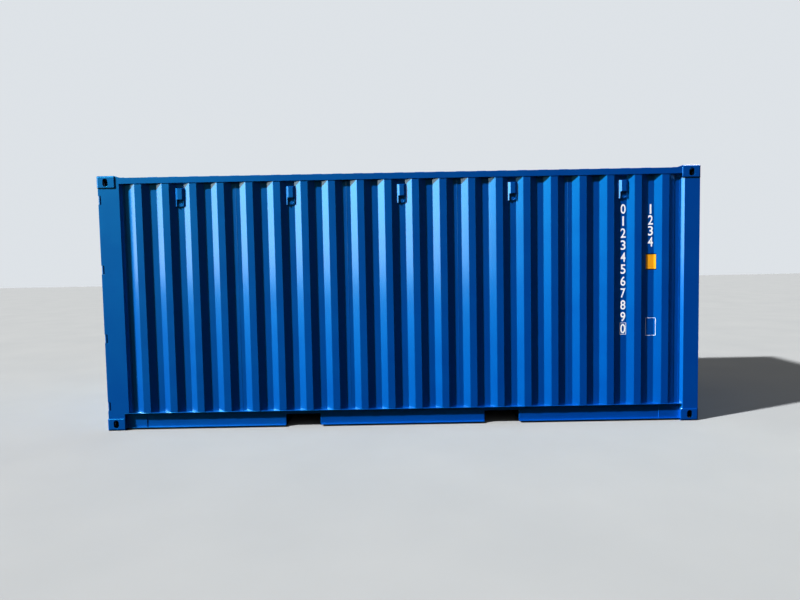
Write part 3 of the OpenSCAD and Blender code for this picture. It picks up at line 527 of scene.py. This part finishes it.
def base_welds():
    """Fillet welds at the plates on the rails' ends and round the mouths of the fork pockets."""
    bm = bmesh.new()
    for low, high in solids_of("rail_end_plates"):
        side = 1 if low.y > 0 else -1
        y = (high.y if side > 0 else low.y) - side * WELD_SIZE / 2
        x = high.x if low.x < 0 else low.x
        add_bead(bm, (x, y, low.z), (x, y, high.z), WELD_SIZE)
    mouth_low, mouth_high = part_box("fork_pockets")
    for opening in frame["record"]["physics"]["openings"]:
        if not opening["name"].endswith("fork_pocket"):
            continue
        low, high = (Vector(corner) for corner in opening["box_m"])
        left, right = low.x - POCKET_WALL, high.x + POCKET_WALL
        top = high.z + POCKET_WALL
        for y in (mouth_low.y, mouth_high.y):
            for x in (left, right):
                add_bead(bm, (x, y, mouth_low.z), (x, y, top), WELD_SIZE)
            add_bead(bm, (left, y, top), (right, y, top), WELD_SIZE)
    make_piece("base_welds", bm, weld_blue, "container", smooth=True)


# Fasteners

# Each outline is turned round a fastener's axis: radius and height in millimetres, from just
# below the surface up
RIVET = [(7, -0.3), (7, 0.6), (5.6, 2.4), (3.0, 3.6)]
WASHER = [(12.5, -0.3), (12.5, 1.7), (12, 2.2)]
HEX_HEAD = [(9.2, 2.0), (9.2, 7.6), (7.9, 8.6)]
SCREW = [(6, -0.3), (6, 0.3), (5, 0.5)]

# Thickness of the plates that the fasteners go through
VENT_FLANGE = 8 * MM
HINGE_BLADE = 9 * MM
BRACKET_FLANGE = 5 * MM
# Rivets of a vent: distance from its middle, and height above its foot
VENT_RIVET_SIDE = 20 * MM
VENT_RIVET_HEIGHT = 13 * MM
# Bolts of a hinge, in millimetres from the blade's inner edge and its middle height, and rivets of
# a bracket, from its middle
HINGE_BOLTS = [(18, -17), (18, 17), (56, -17), (56, 17)]
BRACKET_RIVETS = [(-32, -16), (-32, 16), (32, -16), (32, 16)]
# The strip that holds a door's seal: its distance inside the seal's outer edge, and its section
STRIP_INSET = 36 * MM
STRIP_WIDTH = 25 * MM
STRIP_THICKNESS = 2 * MM
STRIP_RIVET_PITCH = 150 * MM
# Screws of the plywood floor in each cross member, and its sheets
FLOOR_SCREWS = 9
FLOOR_SHEETS = 5
# The sealed joints between the sheets, and how much shorter they are than the floor is wide
JOINT_WIDTH = 3 * MM
JOINT_HEIGHT = 0.6 * MM
JOINT_SHORTER = 2 * MM


def add_turned(bm, centre, outward, outline, sides):
    """A turned form on a surface, closed at its foot and top. Six sides make a hexagon head."""
    turn = Vector(outward).to_track_quat("Z", "Y").to_matrix()
    rings = []
    for radius, height in outline:
        points = [Vector((math.cos(a) * radius, math.sin(a) * radius, height)) * MM
                  for a in ring_angles(sides)]
        rings.append([bm.verts.new(Vector(centre) + turn @ p) for p in points])
    close_rings(bm, rings)


def vent_rivets():
    """Two dome rivets in the foot flange of each vent."""
    bm = bmesh.new()
    for low, high in solids_of("side_vents"):
        side = 1 if low.y > 0 else -1
        y = low.y + VENT_FLANGE if side > 0 else high.y - VENT_FLANGE
        for step in (-1, 1):
            x = (low.x + high.x) / 2 + step * VENT_RIVET_SIDE
            add_turned(bm, (x, y, low.z + VENT_RIVET_HEIGHT), (0, side, 0), RIVET, sides=12)
    make_piece("vent_rivets", bm, weld_blue, "container", smooth=True)


def door_fasteners(leaf, side):
    """Bolts of the hinge blades and rivets of the bar brackets. side is -1 on the near leaf."""
    body = f"{leaf}_door"
    rearward = (-1, 0, 0)
    heads = bmesh.new()
    for low, high in solids_of(f"{body}_hinges"):
        edge, z = high.y if side < 0 else low.y, (low.z + high.z) / 2
        for across, up in HINGE_BOLTS:
            at = (high.x - HINGE_BLADE, edge + side * across * MM, z + up * MM)
            add_turned(heads, at, rearward, WASHER, sides=16)
            add_turned(heads, at, rearward, HEX_HEAD, sides=6)
    for low, high in solids_of(f"{body}_brackets"):
        y, z = (low.y + high.y) / 2, (low.z + high.z) / 2
        for across, up in BRACKET_RIVETS:
            at = (high.x - BRACKET_FLANGE, y + across * MM, z + up * MM)
            add_turned(heads, at, rearward, RIVET, sides=12)
    make_piece(f"{leaf}_door_bolts", heads, zinc, body)


def seal_retainers(leaf):
    """Flat steel strips that hold the seal to the inner face of one leaf, and their rivets."""
    body = f"{leaf}_door"
    low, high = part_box(f"{body}_seal")
    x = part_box(f"{body}_frame")[1].x
    thick, w = STRIP_THICKNESS, STRIP_WIDTH
    y0, y1 = low.y + STRIP_INSET, high.y - STRIP_INSET
    z0, z1 = low.z + STRIP_INSET, high.z - STRIP_INSET
    # The foot and the head run the whole width, and the sides stand between them
    strips = [((y0, z0), (y1, z0 + w)), ((y0, z1 - w), (y1, z1)),
              ((y0, z0 + w), (y0 + w, z1 - w)), ((y1 - w, z0 + w), (y1, z1 - w))]
    bars = bmesh.new()
    rivets = bmesh.new()
    for (ya, za), (yb, zb) in strips:
        middle = Vector((x + thick / 2, (ya + yb) / 2, (za + zb) / 2))
        add_bar(bars, middle, Vector((thick, yb - ya, zb - za)))
        lies_flat = yb - ya > zb - za
        run = (yb - ya) if lies_flat else (zb - za)
        count = max(2, round(run / STRIP_RIVET_PITCH))
        for i in range(count):
            along = ((i + 0.5) / count - 0.5) * run
            step = Vector((thick / 2, along, 0) if lies_flat else (thick / 2, 0, along))
            add_turned(rivets, middle + step, (1, 0, 0), RIVET, sides=8)
    make_piece(f"{leaf}_door_seal_strips", bars, zinc, body)
    make_piece(f"{leaf}_door_seal_rivets", rivets, zinc, body)


def floor_details():
    """Screw heads over the cross members, and the sealed joints between the plywood sheets."""
    low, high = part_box("plywood_floor")
    screws = bmesh.new()
    for a, b in solids_of("cross_members"):
        for i in range(FLOOR_SCREWS):
            y = low.y + (high.y - low.y) * (i + 0.5) / FLOOR_SCREWS
            add_turned(screws, ((a.x + b.x) / 2, y, high.z), (0, 0, 1), SCREW, sides=10)
    make_piece("floor_screws", screws, zinc, "container")
    joints = bmesh.new()
    for i in range(1, FLOOR_SHEETS):
        x = low.x + (high.x - low.x) * i / FLOOR_SHEETS
        add_bar(joints, (x, 0, high.z), (JOINT_WIDTH, high.y - low.y - JOINT_SHORTER, JOINT_HEIGHT))
    make_piece("floor_joints", joints, rubber, "container")


# Markings on the near side: plain digits, a bare plate and two bare outlines

# Thickness of the film, drawn thicker than the real 0.1 mm, and the gap between it and the wall
FILM = 0.4 * MM
FILM_GAP = 0.05 * MM
DIGIT_WIDTH = 52 * MM
DIGIT_HEIGHT = 98 * MM
# A 1 is drawn narrow, as a sign cutter does
ONE_SHARE = 0.34
# How much bolder the strokes of a digit are than the plain face, as a share of its size
STROKE_GROWTH = 0.02
# Each column of digits, with the heights of its top and its foot
LONG_COLUMN = ("01234567890", 2.218, 0.905)
SHORT_COLUMN = ("1234", 2.213, 1.785)
# The outline round the last digit: half its width, its foot and top, and its line
DIGIT_OUTLINE = (33 * MM, 0.893, 1.015, 5 * MM)
# The plate and the outline below it reach this far to the left and right of the trough's middle
PLATE_LEFT = 48 * MM
PLATE_RIGHT = 54 * MM
PLATE_FOOT = 1.551
PLATE_TOP = 1.714
PLATE_BAND = 8 * MM
LOWER_OUTLINE = (0.878, 1.061, 4 * MM)


def add_film(bm, x0, x1, z0, z1, lift=0.0):
    """A patch of film that follows the near wall's outer line."""
    line = wall_line(x0, x1)
    rings = []
    for i, p in enumerate(line):
        out = outward_at(line, i)
        front, back = p + out * (lift + FILM), p + out * (lift + FILM_GAP)
        corners = ((front, z0), (front, z1), (back, z1), (back, z0))
        rings.append([bm.verts.new((q.x, q.y, z)) for q, z in corners])
    close_rings(bm, rings)


def add_outline(bm, x0, x1, z0, z1, width):
    """A rectangular outline of film."""
    add_film(bm, x0, x1, z0, z0 + width)
    add_film(bm, x0, x1, z1 - width, z1)
    add_film(bm, x0, x0 + width, z0 + width, z1 - width)
    add_film(bm, x1 - width, x1, z0 + width, z1 - width)


def add_digit(bm, digit, x, z):
    """One plain digit centred on a point of a trough."""
    width = DIGIT_WIDTH * (ONE_SHARE if digit == "1" else 1)
    curve = bpy.data.curves.new("digit", "FONT")
    curve.body = digit
    curve.offset = STROKE_GROWTH
    holder = bpy.data.objects.new("digit", curve)
    mesh = bpy.data.meshes.new_from_object(holder)
    corners = [v.co for v in mesh.vertices]
    low = Vector([min(c[k] for c in corners) for k in range(3)])
    high = Vector([max(c[k] for c in corners) for k in range(3)])
    span = high - low
    for v in mesh.vertices:
        across = (v.co.x - low.x) / span.x - 0.5
        up = (v.co.y - low.y) / span.y - 0.5
        v.co = (x + across * width, trough_y - FILM, z + up * DIGIT_HEIGHT)
    bm.from_mesh(mesh)
    bpy.data.meshes.remove(mesh)
    bpy.data.objects.remove(holder)
    bpy.data.curves.remove(curve)


def digit_column(bm, x, digits, top, foot):
    """Digits one below another between two heights."""
    pitch = (top - foot - DIGIT_HEIGHT) / (len(digits) - 1)
    for i, digit in enumerate(digits):
        add_digit(bm, digit, x, top - DIGIT_HEIGHT / 2 - i * pitch)


def near_side_markings():
    """White digits in two troughs near the front end, a yellow plate and white outlines."""
    first, second = [(a + b) / 2 for a, b in troughs[-3:-1]]
    digits = bmesh.new()
    digit_column(digits, first, *LONG_COLUMN)
    digit_column(digits, second, *SHORT_COLUMN)
    make_piece("side_digits", digits, white_vinyl, "container")
    lines = bmesh.new()
    half, *digit_outline = DIGIT_OUTLINE
    add_outline(lines, first - half, first + half, *digit_outline)
    x0, x1 = second - PLATE_LEFT, second + PLATE_RIGHT
    add_outline(lines, x0, x1, *LOWER_OUTLINE)
    make_piece("side_outlines", lines, white_vinyl, "container")
    plate = bmesh.new()
    add_film(plate, x0, x1, PLATE_FOOT, PLATE_TOP)
    make_piece("side_plate", plate, yellow_vinyl, "container")
    # Black bands along the plate's foot and top: the top one is painted shadow, standing in for the
    # shade under the plate's upper edge, and the foot one is a plain black band
    plate_bands = bmesh.new()
    add_film(plate_bands, x0, x1, PLATE_FOOT, PLATE_FOOT + PLATE_BAND, lift=FILM)
    add_film(plate_bands, x0, x1, PLATE_TOP - PLATE_BAND, PLATE_TOP, lift=FILM)
    make_piece("side_plate_bands_and_painted_shadow", plate_bands, black_vinyl, "container")


# Camera, floor and lights

# The camera was fitted to places on the container that the photograph shows
FOCAL_PIXELS = 580.8
PHOTO_WIDTH = 800
SENSOR_MM = 36.0
CAMERA_PLACE = Vector((0.0086, -7.095, 1.628))
CAMERA_TURN = [math.radians(a) for a in (3.279, 0.130, -1.063)]

FLOOR_REACH = 60.0
FLOOR_CELLS = 8
# The floor lies this far below the castings' feet, so that the two surfaces stay apart
FLOOR_GAP = 0.5 * MM
BACKGROUND = "E4E8EC"
# Where each lamp shines from, its strength and its width. A sun's strength is in watts a square
# metre, and its width is an angle in degrees
KEY_FROM, KEY_STRENGTH, KEY_WIDTH = (-0.738, -0.328, 0.590), 7.8, 2.5
DOME_FROM, DOME_STRENGTH, DOME_WIDTH = (0, 0, 1), 1.25, 180
BACK_FROM, BACK_STRENGTH, BACK_WIDTH = (0.55, 0.75, 0.45), 3.0, 30
# A low bright patch of sky at the left, which the flanks of the corrugation mirror above eye level
SHEEN_FROM = Vector((-0.90, -0.44, 0.21)).normalized()
SHEEN_FAR = 40.0
SHEEN_WATTS = 3200.0
SHEEN_WIDTH = 30.0
SHEEN_HEIGHT = 15.0
# Below 1 the middle tones go deeper, as they are in the photograph
TONE_GAMMA = 0.8


def place_camera():
    """The camera at the photograph's viewing angle: square to the side, tipped down a little."""
    data = bpy.data.cameras.new("camera")
    data.sensor_width = SENSOR_MM
    data.lens = SENSOR_MM * FOCAL_PIXELS / PHOTO_WIDTH
    camera = bpy.data.objects.new("camera", data)
    bpy.context.scene.collection.objects.link(camera)
    # Right, down and forward of a level camera that looks along +Y
    level = Matrix(((1, 0, 0), (0, 0, -1), (0, 1, 0)))
    right, down, forward = Euler(CAMERA_TURN).to_matrix() @ level
    rotation = Matrix((right, -down, -forward)).transposed()
    camera.matrix_world = Matrix.Translation(CAMERA_PLACE) @ rotation.to_4x4()
    bpy.context.scene.camera = camera


def add_light(name, kind, energy, shines_from, **settings):
    """A lamp that shines from a direction. Returns its object."""
    data = bpy.data.lights.new(name, kind)
    data.energy = energy
    for setting, value in settings.items():
        setattr(data, setting, value)
    lamp = bpy.data.objects.new(name, data)
    lamp.rotation_euler = Vector(shines_from).to_track_quat("Z", "Y").to_euler()
    bpy.context.scene.collection.objects.link(lamp)
    return lamp


def lay_floor():
    """The pale floor, which neither lights the container nor shows in its gloss."""
    bm = bmesh.new()
    bmesh.ops.create_grid(bm, x_segments=FLOOR_CELLS, y_segments=FLOOR_CELLS, size=FLOOR_REACH)
    mesh = bpy.data.meshes.new("floor")
    bm.to_mesh(mesh)
    bm.free()
    floor = bpy.data.objects.new("floor", mesh)
    floor.location.z = -FLOOR_GAP
    mesh.materials.append(trowelled_floor())
    bpy.context.scene.collection.objects.link(floor)
    floor.visible_diffuse = False
    floor.visible_glossy = False
    return floor


def hang_background():
    """A plain pale background, which only the camera sees."""
    world = bpy.data.worlds.new("studio")
    bpy.context.scene.world = world
    world.use_nodes = True
    background = world.node_tree.nodes["Background"]
    background.inputs["Color"].default_value = linear(BACKGROUND)
    background.inputs["Strength"].default_value = 1.0
    world.cycles_visibility.diffuse = False
    world.cycles_visibility.glossy = False


def light_studio(floor):
    """A key light from the upper left, soft fills above and behind, and the low bright patch."""
    add_light("key_light", "SUN", KEY_STRENGTH, KEY_FROM, angle=math.radians(KEY_WIDTH))
    dome = add_light("dome_fill", "SUN", DOME_STRENGTH, DOME_FROM, angle=math.radians(DOME_WIDTH))
    dome.visible_glossy = False
    back = add_light("back_fill", "SUN", BACK_STRENGTH, BACK_FROM, angle=math.radians(BACK_WIDTH))
    # The fill from behind leaves the floor and the shadow on it alone
    off = bpy.data.collections.new("not_lit_from_behind")
    off.objects.link(floor)
    back.light_linking.receiver_collection = off
    off.collection_objects[0].light_linking.link_state = "EXCLUDE"
    sheen = add_light("sheen_panel", "AREA", SHEEN_WATTS, SHEEN_FROM, shape="RECTANGLE",
                      size=SHEEN_WIDTH, size_y=SHEEN_HEIGHT)
    sheen.location = SHEEN_FROM * SHEEN_FAR
    sheen.visible_diffuse = False
    sheen.visible_camera = False
    bpy.context.scene.view_settings.view_transform = "Standard"
    bpy.context.scene.view_settings.gamma = TONE_GAMMA


dress_nodes()
bead_along_wall("wall_foot_welds", wall_low, 1, WELD_SIZE)
bead_along_wall("wall_head_welds", wall_high, -1, WELD_SIZE)
sheet_joint_welds()
casting_welds()
base_welds()
vent_rivets()
for leaf, side in (("near", -1), ("far", 1)):
    door_fasteners(leaf, side)
    seal_retainers(leaf)
floor_details()
near_side_markings()
place_camera()
studio_floor = lay_floor()
hang_background()
light_studio(studio_floor)
